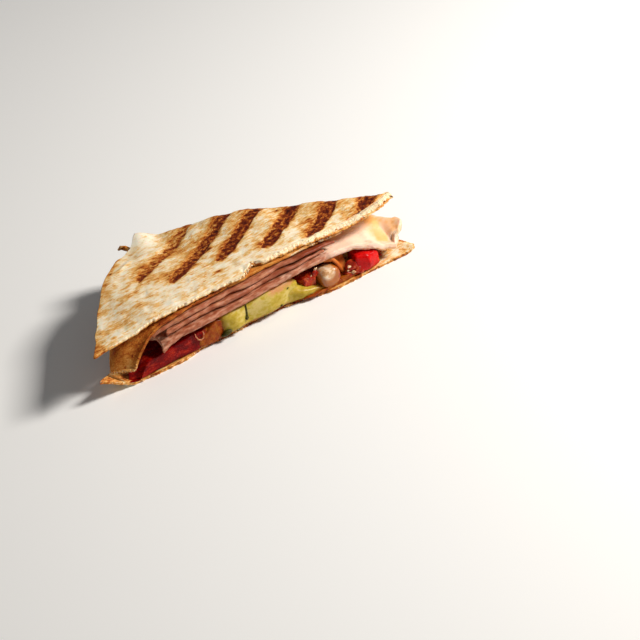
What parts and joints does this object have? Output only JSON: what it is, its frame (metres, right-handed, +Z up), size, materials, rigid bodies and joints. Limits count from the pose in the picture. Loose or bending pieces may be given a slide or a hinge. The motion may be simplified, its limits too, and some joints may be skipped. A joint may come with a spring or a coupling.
{
  "type": "ham and cheese wrap half",
  "caption": "Half of a grilled flour tortilla wrap, folded flat and cut corner to corner, with ham, melted cheese, tomato and red pepper showing at the cut.",
  "frame": {"origin": "under the middle of the wrap's bounding box, on the surface it rests on", "axes": "+X along the cut, from the open end to the folded end; +Y away from the cut, to the uncut corner; +Z up"},
  "size_m": [0.1498, 0.0722, 0.0279],
  "materials": {
    "tortilla": "matt toasted flour tortilla with dark grill marks",
    "tortilla_inside": "matt inner lap of the tortilla, golden",
    "ham": "moist cooked ham",
    "tomato": "wet cooked tomato",
    "cheese": "glossy melted cheese",
    "red_pepper": "wet red pepper"
  },
  "bodies": {
    "root": {"tortilla": "tortilla", "tortilla_lap": "tortilla_inside", "ham_slice_1": "ham", "ham_slice_2": "ham", "ham_slice_3": "ham", "ham_slice_4": "ham", "tomato_slice": "tomato", "tomato_chunk": "tomato", "melted_cheese": "cheese", "cheese_blob": "cheese", "red_pepper": "red_pepper"}
  },
  "joints": []
}
